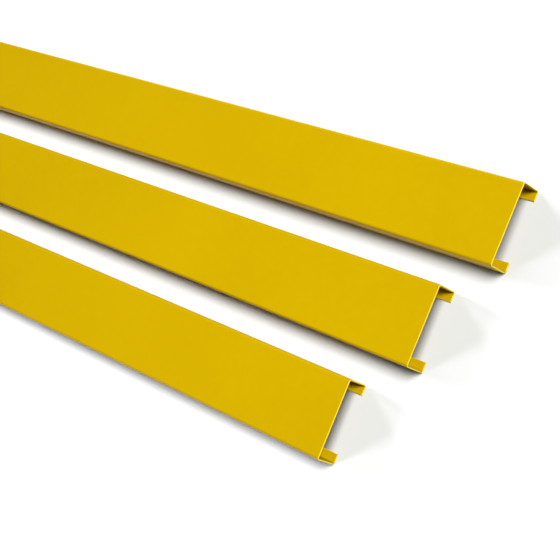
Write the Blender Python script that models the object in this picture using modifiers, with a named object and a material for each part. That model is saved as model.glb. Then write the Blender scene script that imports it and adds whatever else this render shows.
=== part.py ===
"""Three lengths of folded steel channel, painted yellow, which lie side by side on the floor as wheel stops.

Each rail is one strip of sheet steel folded four times into a lipped C with its open side down: a wide
web on top, a flange down each side, and a lip turned inward under each flange. A rail rests on its two
lips, and both of its ends are open and cut square. The rails are loose, and lie parallel with their ends
staggered.

+X runs along the rails, +Z is up, and the origin is on the floor under the middle of the whole layout.
"""

import math

import bmesh
import bpy

# Driving dimensions, in metres. One rail:
RAIL_LENGTH = 2.0
WEB_WIDTH = 0.150  # outside, over both flanges
RAIL_HEIGHT = 0.050  # from the floor to the top of the web
LIP_WIDTH = 0.020  # from the outside of the flange to the lip's free edge
SHEET = 0.003
BEND_RADIUS = 0.0025  # inside of every fold
EDGE_BREAK = 0.0003  # corner taken off every cut edge

# The layout: the clear floor between two rails, and how far each rail's +X end lies behind the rear rail's
RAIL_GAP = 0.055
MIDDLE_SETBACK = 0.080
FRONT_SETBACK = 0.180

BEND_SEGMENTS = 8
EDGE_SEGMENTS = 1
FOLD_ANGLE = math.radians(60)  # every fold and every cut edge is sharper than this, and no facet of a bend is

YELLOW = (0.716, 0.474, 0.002, 1.0)
COAT_ROUGHNESS = 0.38


def clear_scene():
    for obj in list(bpy.data.objects):
        bpy.data.objects.remove(obj, do_unlink=True)


def powder_coat(name):
    """Satin yellow powder coat over steel. The film hides the metal, so it shades as a plastic."""
    coat = bpy.data.materials.new(name)
    coat.use_nodes = True
    shader = coat.node_tree.nodes["Principled BSDF"]
    shader.inputs["Base Color"].default_value = YELLOW
    shader.inputs["Roughness"].default_value = COAT_ROUGHNESS
    shader.inputs["Metallic"].default_value = 0.0
    coat.diffuse_color = YELLOW
    return coat


def outer_face(name):
    """The outside of one rail as an open sheet with sharp folds, from its -X end to its +X end."""
    side = WEB_WIDTH / 2
    lip_edge = side - LIP_WIDTH
    fold_lines = [
        (lip_edge, 0.0),
        (side, 0.0),
        (side, RAIL_HEIGHT),
        (-side, RAIL_HEIGHT),
        (-side, 0.0),
        (-lip_edge, 0.0),
    ]
    sheet = bmesh.new()
    start = [sheet.verts.new((-RAIL_LENGTH / 2, y, z)) for y, z in fold_lines]
    strip = [sheet.edges.new(ends) for ends in zip(start, start[1:])]
    grown = bmesh.ops.extrude_edge_only(sheet, edges=strip)["geom"]
    far_end = [item for item in grown if isinstance(item, bmesh.types.BMVert)]
    bmesh.ops.translate(sheet, verts=far_end, vec=(RAIL_LENGTH, 0.0, 0.0))
    web = max(sheet.faces, key=lambda face: face.calc_center_median().z)
    web.normal_update()
    if web.normal.z < 0:
        bmesh.ops.reverse_faces(sheet, faces=sheet.faces[:])
    mesh = bpy.data.meshes.new(name)
    sheet.to_mesh(mesh)
    sheet.free()
    mesh.shade_smooth()
    return mesh


def make_rail(name, collection):
    """One folded rail, with its origin on the floor at the middle of its length and width."""
    rail = bpy.data.objects.new(name, outer_face(name))
    collection.objects.link(rail)

    folds = rail.modifiers.new("folds", "BEVEL")
    folds.width = BEND_RADIUS + SHEET
    folds.segments = BEND_SEGMENTS
    folds.limit_method = "ANGLE"
    folds.angle_limit = FOLD_ANGLE

    thickness = rail.modifiers.new("sheet thickness", "SOLIDIFY")
    thickness.thickness = SHEET
    thickness.offset = -1.0
    thickness.use_even_offset = True

    edge_break = rail.modifiers.new("edge break", "BEVEL")
    edge_break.width = EDGE_BREAK
    edge_break.segments = EDGE_SEGMENTS
    edge_break.limit_method = "ANGLE"
    edge_break.angle_limit = FOLD_ANGLE
    edge_break.use_clamp_overlap = False
    edge_break.harden_normals = True

    rail.data.materials.append(powder_coat(f"{name} yellow powder coat"))
    return rail


def main():
    clear_scene()
    collection = bpy.data.collections.new("wheel_stop_rails")
    bpy.context.scene.collection.children.link(collection)
    layout = bpy.data.objects.new("layout", None)
    collection.objects.link(layout)

    pitch = WEB_WIDTH + RAIL_GAP
    # The farthest setback lengthens the layout by that much, so half of it centres the layout on X = 0
    rear_x = max(0.0, MIDDLE_SETBACK, FRONT_SETBACK) / 2
    places = {
        "rail_rear": (rear_x, pitch),
        "rail_middle": (rear_x - MIDDLE_SETBACK, 0.0),
        "rail_front": (rear_x - FRONT_SETBACK, -pitch),
    }
    for name, (x, y) in places.items():
        rail = make_rail(name, collection)
        rail.parent = layout
        rail.location = (x, y, 0.0)


main()
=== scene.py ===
"""Looks of the wheel stop rails: three loose lengths of folded, powder-coated steel channel on a
pale floor.

Each CAD rail is replaced by a finer one of the same section: rounded folds, softened cut edges,
and a sheet that is a little uneven, as rolled steel is. All lengths are in metres, in the CAD's
own frame.
"""

import math

import bpy
import numpy as np
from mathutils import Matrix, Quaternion, Vector


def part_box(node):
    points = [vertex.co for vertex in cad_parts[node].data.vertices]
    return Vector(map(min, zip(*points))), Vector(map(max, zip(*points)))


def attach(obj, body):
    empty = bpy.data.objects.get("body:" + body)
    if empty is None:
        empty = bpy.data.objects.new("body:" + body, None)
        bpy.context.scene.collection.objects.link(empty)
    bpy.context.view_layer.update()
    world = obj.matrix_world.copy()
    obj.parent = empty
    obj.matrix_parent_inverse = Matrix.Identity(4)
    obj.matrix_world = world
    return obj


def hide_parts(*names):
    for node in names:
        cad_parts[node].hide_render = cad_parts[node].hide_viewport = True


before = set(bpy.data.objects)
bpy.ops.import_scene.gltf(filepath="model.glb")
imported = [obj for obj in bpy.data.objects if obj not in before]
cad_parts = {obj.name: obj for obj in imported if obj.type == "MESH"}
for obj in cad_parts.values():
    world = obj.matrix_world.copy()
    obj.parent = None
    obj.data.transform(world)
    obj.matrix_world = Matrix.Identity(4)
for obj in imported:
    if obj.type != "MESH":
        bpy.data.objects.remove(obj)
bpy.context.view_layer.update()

RAILS = {
    # node: (body, seed of its unevenness)
    "rail_rear": ("rear_rail", 11),
    "rail_middle": ("middle_rail", 23),
    "rail_front": ("front_rail", 37),
}

# The folded section, as in the CAD. Its width, height and length are read from each node's box.
SHEET = 0.003
LIP_WIDTH = 0.020
BEND_RADIUS = 0.0025
CUT_EDGE_RADIUS = 0.0012  # steel corner and coat together

# How finely the rail is divided
BEND_STEPS = 12
WEB_STEPS = 16
FLANGE_STEPS = 4
LIP_STEPS = 3
EDGE_STEPS = 4
STATION_LENGTH = 0.02
SUPPORT = 0.0008  # width of a flat's first and last strips, which keep the rounds' shading off it

# The columns of a section's rows
Y, Z, NORMAL_Y, NORMAL_Z, FROM_LIP_EDGE, ON_FOLD, UNDERFOOT, PAINTED_SHADE_WEIGHT = range(8)
FAR = 1.0  # FROM_LIP_EDGE wherever the lip's edge is too far away to matter
STRAIGHT = 0.99  # a normal with this much of its length along an axis points along it

# How far the sheet strays inward from flat
WEB_WAVE = 0.00022
FLANGE_WAVE = 0.0001
WAVELENGTHS = (0.9, 0.43, 0.21)
WAVE_ACROSS = 1.3  # the wavelength across the rail, in rail widths
ACROSS_SHARE = 0.4  # how much of each wave changes across the rail
END_DIP = 0.00018
END_REACH = 0.07

# Painted shade: how dark each part of the channel's inside is painted, from 0 for none to 1 for
# most
INSIDE_PAINTED_SHADE = 1.0
LIP_PAINTED_SHADE = 0.15

YELLOW_DEEP = (0.629, 0.401, 0.0004, 1.0)
YELLOW = (0.663, 0.427, 0.0004, 1.0)
YELLOW_PALE = (0.683, 0.450, 0.0006, 1.0)
# painted highlight for the cut edges
YELLOW_PAINTED_HIGHLIGHT = (0.88, 0.72, 0.06, 1.0)
# painted shade for the inside of the channel
YELLOW_PAINTED_SHADE = (0.24, 0.135, 0.0006, 1.0)
SCUFFED = (0.33, 0.24, 0.10, 1.0)
COAT_REFLECTION = (1.0, 0.80, 0.02, 1.0)
COAT_IOR = 1.4

# How much of its own colour each pattern of the coat shows
MOTTLE_TINT = 0.25
# the painted highlight on the cut edges
PAINTED_HIGHLIGHT_TINT = 0.65

# Roughness of the coat, and what the shaded inside and scuffs add to it and cut edges take off
ROUGHNESS = (0.34, 0.42)
SHADE_DULLS = 0.12
SCUFF_DULLS = 0.25
BEAD_SHINES = 0.08

# Relief of the coat: ripple and scuffs as multiples of the orange peel, then all three together
RIPPLE_HEIGHT = 1.6
SCUFF_DEPTH = 0.8
RELIEF_STRENGTH = 0.22
RELIEF_HEIGHT = 0.0003

FLOOR_SIZE = 80.0
FLOOR_DARK = (0.397, 0.399, 0.395, 1.0)
FLOOR_LIGHT = (0.403, 0.405, 0.401, 1.0)

# Colours of the floor's lights: a slightly warm key, and back lights that are slightly cold to
# make up for the yellow that the rails throw on the floor
KEY_LIGHT = (1.0, 1.0, 0.97)
BACK_LIGHT = (0.94, 0.97, 1.1)

BACK_ELEVATION = 17.0  # degrees, as are the azimuths and widths
BACK_SUNS = (
    # name, azimuth, strength, width
    ("floor_back", 175.5, 5.9, 12.0),
    ("floor_back_left", 151.0, 4.6, 16.0),
    ("floor_back_right", 222.0, 4.6, 16.0),
)
SUN_DISTANCE = 3.0  # where a sun is drawn in the viewport, which its light does not depend on

# The world's strength as light on the scene, and as the white that the camera sees behind it
AMBIENT = 0.04
BACKDROP = 1.0

CAMERA_PLACE = (2.388, -0.087, 1.956)
CAMERA_AIM = (0.628, -0.012, 0.0)
CAMERA_ROLL = -65.9  # degrees
LENS = 90.0  # millimetres, and so is the sensor
SENSOR_WIDTH = 36.0


# ---------------------------------------------------------------- shader helpers


def new_material(name):
    material = bpy.data.materials.new(name)
    material.use_nodes = True
    nodes = material.node_tree.nodes
    return material, nodes, material.node_tree.links, nodes["Principled BSDF"]


def add(nodes, kind, **values):
    """A node of this kind with its properties and, by socket name, its input values set."""
    node = nodes.new(kind)
    for name, value in values.items():
        if name in node.inputs:
            node.inputs[name].default_value = value
        else:
            setattr(node, name, value)
    return node


def noise(nodes, links, coordinates, scale, detail=2.0, roughness=0.5):
    """Noise from 0 to 1, with this many features to a metre."""
    node = add(nodes, "ShaderNodeTexNoise", Scale=scale, Detail=detail, Roughness=roughness)
    links.new(coordinates, node.inputs["Vector"])
    return node.outputs["Fac"]


def remap(nodes, links, value, low=0.0, high=1.0, to_low=0.0, to_high=1.0):
    """value between low and high, spread over to_low to to_high and held there outside them."""
    node = add(nodes, "ShaderNodeMapRange", clamp=True)
    sockets = ("From Min", "From Max", "To Min", "To Max")
    for socket, number in zip(sockets, (low, high, to_low, to_high)):
        node.inputs[socket].default_value = number
    links.new(value, node.inputs["Value"])
    return node.outputs["Result"]


def combine(nodes, links, operation, a, b):
    node = add(nodes, "ShaderNodeMath", operation=operation)
    for socket, value in zip(node.inputs, (a, b)):
        if isinstance(value, (int, float)):
            socket.default_value = value
        else:
            links.new(value, socket)
    return node.outputs["Value"]


def mix_colour(nodes, links, factor, a, b):
    node = nodes.new("ShaderNodeMix")
    node.data_type = "RGBA"
    links.new(factor, node.inputs["Factor"])
    # The node has a pair of inputs called A and B for every type of data. These are the colours.
    for socket, value in ((node.inputs[6], a), (node.inputs[7], b)):
        if isinstance(value, tuple):
            socket.default_value = value
        else:
            links.new(value, socket)
    return node.outputs[2]


def attribute(nodes, name):
    return add(nodes, "ShaderNodeAttribute", attribute_name=name).outputs["Fac"]


# ---------------------------------------------------------------- materials


def powder_coat():
    """Satin yellow powder coat: orange peel, slow drift in tone, painted shade (a darker, duller
    coat) on the inside of the channel, most in its folds, a painted highlight and a glossier coat
    on the cut edges, and scuffs where the lips stand."""
    material, nodes, links, shader = new_material("yellow_powder_coat")
    place = nodes.new("ShaderNodeTexCoord").outputs["Object"]

    def times(a, b):
        return combine(nodes, links, "MULTIPLY", a, b)

    drift = noise(nodes, links, place, scale=4.0, detail=3.0)
    drift = remap(nodes, links, drift, low=0.3, high=0.7)
    base = mix_colour(nodes, links, drift, YELLOW_DEEP, YELLOW)
    mottle = noise(nodes, links, place, scale=55.0, detail=4.0, roughness=0.6)
    mottle = remap(nodes, links, mottle, low=0.35, high=0.65)
    base = mix_colour(nodes, links, times(mottle, MOTTLE_TINT), base, YELLOW_PALE)

    # Painted highlight: the cut edges are paled towards light yellow, and made a little glossier
    highlight_and_gloss = attribute(nodes, "cut_edge")
    base = mix_colour(nodes, links, times(highlight_and_gloss, PAINTED_HIGHLIGHT_TINT), base, YELLOW_PAINTED_HIGHLIGHT)

    # Painted shade: the inside of the channel is darkened and dulled, most in its folds
    sheltered = attribute(nodes, "sheltered")
    fold = remap(nodes, links, attribute(nodes, "fold"), to_low=0.75)
    shade_and_dullness = times(sheltered, fold)
    shade_and_dullness = times(shade_and_dullness, remap(nodes, links, mottle, to_low=0.85))
    base = mix_colour(nodes, links, shade_and_dullness, base, YELLOW_PAINTED_SHADE)

    # Scuffs from standing and sliding on concrete, only under the lips: streaks along the rail
    streaks = add(nodes, "ShaderNodeMapping", Scale=(14.0, 420.0, 60.0))
    links.new(place, streaks.inputs["Vector"])
    streaks = streaks.outputs["Vector"]
    scratch = noise(nodes, links, streaks, scale=1.0, detail=5.0, roughness=0.65)
    scratch = remap(nodes, links, scratch, low=0.55, high=0.68)
    patch = noise(nodes, links, place, scale=9.0, detail=3.0)
    patch = remap(nodes, links, patch, low=0.45, high=0.62)
    scuff = times(times(scratch, patch), attribute(nodes, "foot"))
    base = mix_colour(nodes, links, scuff, base, SCUFFED)
    links.new(base, shader.inputs["Base Color"])

    smoothest, roughest = ROUGHNESS
    gloss = remap(nodes, links, mottle, to_low=smoothest, to_high=roughest)
    gloss = combine(nodes, links, "ADD", gloss, times(shade_and_dullness, SHADE_DULLS))
    gloss = combine(nodes, links, "ADD", gloss, times(scuff, SCUFF_DULLS))
    gloss = combine(nodes, links, "SUBTRACT", gloss, times(highlight_and_gloss, BEAD_SHINES))
    links.new(gloss, shader.inputs["Roughness"])
    shader.inputs["Metallic"].default_value = 0.0
    shader.inputs["IOR"].default_value = COAT_IOR
    shader.inputs["Specular Tint"].default_value = COAT_REFLECTION

    peel = noise(nodes, links, place, scale=380.0, roughness=0.45)
    ripple = noise(nodes, links, place, scale=45.0)
    height = combine(nodes, links, "ADD", peel, times(ripple, RIPPLE_HEIGHT))
    height = combine(nodes, links, "SUBTRACT", height, times(scuff, SCUFF_DEPTH))
    bump = add(nodes, "ShaderNodeBump", Strength=RELIEF_STRENGTH, Distance=RELIEF_HEIGHT)
    links.new(height, bump.inputs["Height"])
    links.new(bump.outputs["Normal"], shader.inputs["Normal"])
    return material


def pale_floor():
    material, nodes, links, shader = new_material("pale_floor")
    place = nodes.new("ShaderNodeTexCoord").outputs["Object"]
    tone = remap(nodes, links, noise(nodes, links, place, scale=0.8), low=0.3, high=0.7)
    tone = mix_colour(nodes, links, tone, FLOOR_DARK, FLOOR_LIGHT)
    links.new(tone, shader.inputs["Base Color"])
    shader.inputs["Roughness"].default_value = 1.0
    shader.inputs["Specular IOR Level"].default_value = 0.0
    return material


# ---------------------------------------------------------------- the folded rails


def edge_steps():
    """Distances from a cut edge at which its rounding is divided, and the strip beyond it."""
    turns = [math.pi / 2 * k / EDGE_STEPS for k in range(EDGE_STEPS + 1)]
    rounding = [CUT_EDGE_RADIUS * (1 - math.cos(turn)) for turn in turns]
    return rounding + [CUT_EDGE_RADIUS + SUPPORT]


def edge_inset(distance):
    """How far a cut edge's rounding draws both faces of the sheet together, this far from it."""
    into = np.clip(CUT_EDGE_RADIUS - distance, 0.0, CUT_EDGE_RADIUS)
    return CUT_EDGE_RADIUS - np.sqrt(CUT_EDGE_RADIUS**2 - into**2)


def section(width, height):
    """The C's outline, from the edge of the -Y lip to the edge of the +Y lip, as rows of the
    outside's y and z, its normal's y and z, the distance from the lip's edge, and three weights
    from 0 to 1: on a fold, under the lip where the rail stands, and of painted shade when on the
    inside."""
    side = width / 2
    outer = BEND_RADIUS + SHEET
    lip_edge = side - LIP_WIDTH
    rows = []

    def flat(start, end, steps, normal, foot, sheltered):
        start, end = np.array(start), np.array(end)
        length = np.linalg.norm(end - start)
        inner_steps = [length * k / steps for k in range(1, steps)]
        for along in [SUPPORT, *inner_steps, length - SUPPORT]:
            point = start + (end - start) * along / length
            rows.append([*point, *normal, FAR, 0.0, foot, sheltered])

    def fold(centre, first_turn, sheltered_from, sheltered_to):
        """A quarter turn from first_turn, clockwise seen from +X."""
        for k in range(BEND_STEPS + 1):
            turn = math.radians(first_turn - 90.0 * k / BEND_STEPS)
            y, z = math.cos(turn), math.sin(turn)
            foot = float(z < -STRAIGHT)
            sheltered = sheltered_from + (sheltered_to - sheltered_from) * k / BEND_STEPS
            point = (centre[0] + outer * y, centre[1] + outer * z)
            rows.append([*point, y, z, FAR, 1.0, foot, sheltered])

    up, outward, down = (0.0, 1.0), (1.0, 0.0), (0.0, -1.0)
    # weights of painted shade for the channel's inside and for its lips
    inside, lip = INSIDE_PAINTED_SHADE, LIP_PAINTED_SHADE
    rows.append([0.0, height, *up, FAR, 0.0, 0.0, inside])
    flat((0.0, height), (side - outer, height), WEB_STEPS // 2, up, 0.0, inside)
    fold((side - outer, height - outer), 90.0, inside, inside)
    flat((side, height - outer), (side, outer), FLANGE_STEPS, outward, 0.0, inside)
    fold((side - outer, outer), 0.0, inside, lip)
    lip_end = (lip_edge + CUT_EDGE_RADIUS, 0.0)
    flat((side - outer, 0.0), lip_end, LIP_STEPS, down, 1.0, lip)
    for distance in reversed(edge_steps()[:-1]):
        rows.append([lip_edge + distance, 0.0, *down, distance, 0.0, 1.0, lip])
    half = np.array(rows)
    mirrored = half[:0:-1].copy()
    mirrored[:, [Y, NORMAL_Y]] *= -1
    return np.concatenate([mirrored, half])


def unevenness(x, rows, length, width, height, seed):
    """How far each point of the sheet lies inside its true place: waves that die out at the
    folds, and a slight dip of the web towards each open end."""
    rng = np.random.default_rng(seed)
    y, z, normal_z = rows[:, Y], rows[:, Z], rows[:, NORMAL_Z]
    wave = np.zeros((len(x), len(rows)))
    for wavelength in WAVELENGTHS:
        phase_x, phase_y = rng.uniform(0.0, 2.0 * math.pi, 2)
        across = np.cos(2.0 * math.pi * (y + z) / (width * WAVE_ACROSS) + phase_y)
        along = np.cos(2.0 * math.pi * x / wavelength + phase_x)
        wave += along * (1.0 - ACROSS_SHARE + ACROSS_SHARE * across)
    wave = 0.5 + 0.5 * wave / len(WAVELENGTHS)
    on_web = (normal_z > STRAIGHT) * np.cos(math.pi * y / width) ** 2
    on_flange = (np.abs(normal_z) < 1.0 - STRAIGHT) * np.sin(math.pi * z / height) ** 2
    end_dip = END_DIP * np.exp(-(((length / 2 - np.abs(x)) / END_REACH) ** 2))
    return (WEB_WAVE * wave + end_dip) * on_web + FLANGE_WAVE * wave * on_flange


def stations(length):
    """Where along a rail the section is repeated, from end to end, as a column."""
    near_end = np.array(edge_steps())
    middle = length / 2 - near_end[-1]
    between = np.linspace(-middle, middle, round(2 * middle / STATION_LENGTH) + 1)
    first, last = near_end[:-1] - length / 2, length / 2 - near_end[-2::-1]
    return np.concatenate([first, between, last])[:, None]


def sheet_faces(n_x, n_rows):
    """The quads of the outer face, the inner face and the rim that closes them, wound outward."""
    index = np.arange(2 * n_x * n_rows).reshape(2, n_x, n_rows)
    outside, inside = index
    rim_sides = [index[:, 0, :], index[:, 1:, -1], index[:, -1, -2::-1], index[:, -2:0:-1, 0]]
    rim = np.concatenate(rim_sides, axis=1)
    following = np.roll(rim, -1, axis=1)
    quads = [
        (outside[:-1, :-1], outside[1:, :-1], outside[1:, 1:], outside[:-1, 1:]),
        (inside[:-1, :-1], inside[:-1, 1:], inside[1:, 1:], inside[1:, :-1]),
        (rim[0], following[0], following[1], rim[1]),
    ]
    return np.concatenate([np.stack(corners, axis=-1).reshape(-1, 4) for corners in quads])


def rail_mesh(name, low, high, seed):
    """One rail between these corners: an outer and an inner face of the sheet, closed round
    their rim. Its attributes tell the coat where each point is."""
    length, width, height = high - low
    rows = section(width, height)
    x = stations(length)
    distance = np.minimum(length / 2 - np.abs(x), rows[:, FROM_LIP_EDGE])
    inset = edge_inset(distance)
    stray = unevenness(x, rows, length, width, height, seed)
    n_x, n_rows = distance.shape
    points = np.empty((2, n_x, n_rows, 3))
    for face, depth in enumerate((stray + inset, stray + SHEET - inset)):
        points[face, :, :, 0] = x
        points[face, :, :, 1] = rows[:, Y] - depth * rows[:, NORMAL_Y]
        points[face, :, :, 2] = rows[:, Z] - depth * rows[:, NORMAL_Z]
    points += [(low.x + high.x) / 2, (low.y + high.y) / 2, low.z]

    mesh = bpy.data.meshes.new(name)
    faces = sheet_faces(n_x, n_rows)
    mesh.from_pydata(points.reshape(-1, 3).tolist(), [], faces.tolist())
    everywhere = np.ones((2, n_x, n_rows))
    is_inside = np.array([0.0, 1.0])[:, None, None]
    for label, values in (
        ("fold", everywhere * rows[:, ON_FOLD]),
        ("foot", everywhere * rows[:, UNDERFOOT] * (1.0 - is_inside)),
        # painted shade on the inside faces
        ("sheltered", everywhere * rows[:, PAINTED_SHADE_WEIGHT] * is_inside),
        # painted highlight and gloss near the cut edges
        ("cut_edge", everywhere * (1.0 - np.clip(distance / CUT_EDGE_RADIUS, 0.0, 1.0))),
    ):
        weights = mesh.attributes.new(label, "FLOAT", "POINT")
        weights.data.foreach_set("value", values.ravel().astype(np.float32))
    mesh.shade_smooth()
    mesh.validate()
    return mesh


def make_rail(node, body, seed, coat):
    low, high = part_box(node)
    name = node.replace("rail", "folded_rail")
    rail = bpy.data.objects.new(name, rail_mesh(name, low, high, seed))
    bpy.context.scene.collection.objects.link(rail)
    rail.data.materials.append(coat)
    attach(rail, body)
    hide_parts(node)
    return rail


# ---------------------------------------------------------------- studio


def make_floor():
    bpy.ops.mesh.primitive_grid_add(x_subdivisions=8, y_subdivisions=8, size=FLOOR_SIZE)
    floor = bpy.context.object
    floor.name = "studio_floor"
    floor.data.materials.append(pale_floor())
    return floor


def light_only(light, lit):
    """Let this light reach only the objects in lit."""
    receivers = bpy.data.collections.new(f"{light.name}_receivers")
    for obj in lit:
        receivers.objects.link(obj)
    light.light_linking.receiver_collection = receivers


def make_sun(name, azimuth, elevation, strength, width, lit, colour=(1.0, 1.0, 1.0)):
    """A soft light from infinitely far away, for the objects in lit only. Azimuth runs from +X
    towards +Y, and width is the light's size; all three angles are in degrees."""
    data = bpy.data.lights.new(name, "SUN")
    data.energy = strength
    data.color = colour
    data.angle = math.radians(width)
    sun = bpy.data.objects.new(name, data)
    a, e = math.radians(azimuth), math.radians(elevation)
    towards = Vector((math.cos(a) * math.cos(e), math.sin(a) * math.cos(e), math.sin(e)))
    sun.rotation_euler = towards.to_track_quat("Z", "Y").to_euler()
    sun.location = towards * SUN_DISTANCE
    bpy.context.scene.collection.objects.link(sun)
    light_only(sun, lit)


def make_softbox(name, location, aim, power, size, lit):
    """A square light for the objects in lit only, near enough to fade along them."""
    data = bpy.data.lights.new(name, "AREA")
    data.energy = power
    data.size = size
    softbox = bpy.data.objects.new(name, data)
    softbox.location = location
    backward = Vector(location) - Vector(aim)
    softbox.rotation_euler = backward.to_track_quat("Z", "Y").to_euler()
    softbox.visible_camera = False
    bpy.context.scene.collection.objects.link(softbox)
    light_only(softbox, lit)


def light_studio(floor, rails):
    """The rails are lit from beyond their open ends, and by a softbox over their near part, so
    that they darken a little towards the far ends. The floor is lit from higher up, which makes
    the shadows short and soft. Three low lights from behind whiten the floor wherever one of them
    reaches it, so their long shadows show only where all three are lost: as a faint wedge in
    front of each open end."""
    make_sun("rail_key", azimuth=24.0, elevation=45.0, strength=4.2, width=20.0, lit=rails)
    make_softbox(
        "rail_softbox",
        location=(0.75, 0.35, 1.6),
        aim=(0.55, 0.0, 0.0),
        power=4.3,
        size=0.8,
        lit=rails,
    )
    make_sun(
        "floor_key",
        azimuth=35.0,
        elevation=57.0,
        strength=7.65,
        width=30.0,
        lit=[floor],
        colour=KEY_LIGHT,
    )
    for name, azimuth, strength, width in BACK_SUNS:
        make_sun(name, azimuth, BACK_ELEVATION, strength, width, [floor], BACK_LIGHT)


def make_world():
    """Weak even light on the object, seen by the camera as a white backdrop."""
    world = bpy.data.worlds.new("studio")
    bpy.context.scene.world = world
    world.use_nodes = True
    nodes, links = world.node_tree.nodes, world.node_tree.links
    nodes.clear()
    light = add(nodes, "ShaderNodeBackground", Strength=AMBIENT)
    seen = add(nodes, "ShaderNodeBackground", Strength=BACKDROP)
    for shader in (light, seen):
        shader.inputs["Color"].default_value = (1, 1, 1, 1)
    choose = nodes.new("ShaderNodeMixShader")
    links.new(nodes.new("ShaderNodeLightPath").outputs["Is Camera Ray"], choose.inputs[0])
    links.new(light.outputs[0], choose.inputs[1])
    links.new(seen.outputs[0], choose.inputs[2])
    world_output = nodes.new("ShaderNodeOutputWorld")
    links.new(choose.outputs[0], world_output.inputs["Surface"])


def make_camera():
    """Above the rails' open ends, looking back along them and turned on its side."""
    data = bpy.data.cameras.new("camera")
    data.lens = LENS
    data.sensor_width = SENSOR_WIDTH
    camera = bpy.data.objects.new("camera", data)
    location, aim = Vector(CAMERA_PLACE), Vector(CAMERA_AIM)
    upright = (aim - location).to_track_quat("-Z", "Y")
    camera.rotation_mode = "QUATERNION"
    roll = Quaternion((0, 0, 1), math.radians(CAMERA_ROLL))
    camera.rotation_quaternion = upright @ roll
    camera.location = location
    bpy.context.scene.collection.objects.link(camera)
    bpy.context.scene.camera = camera


make_camera()
make_world()
floor = make_floor()
coat = powder_coat()
rails = [make_rail(node, body, seed, coat) for node, (body, seed) in RAILS.items()]
light_studio(floor, rails)
bpy.context.scene.view_settings.view_transform = "Standard"
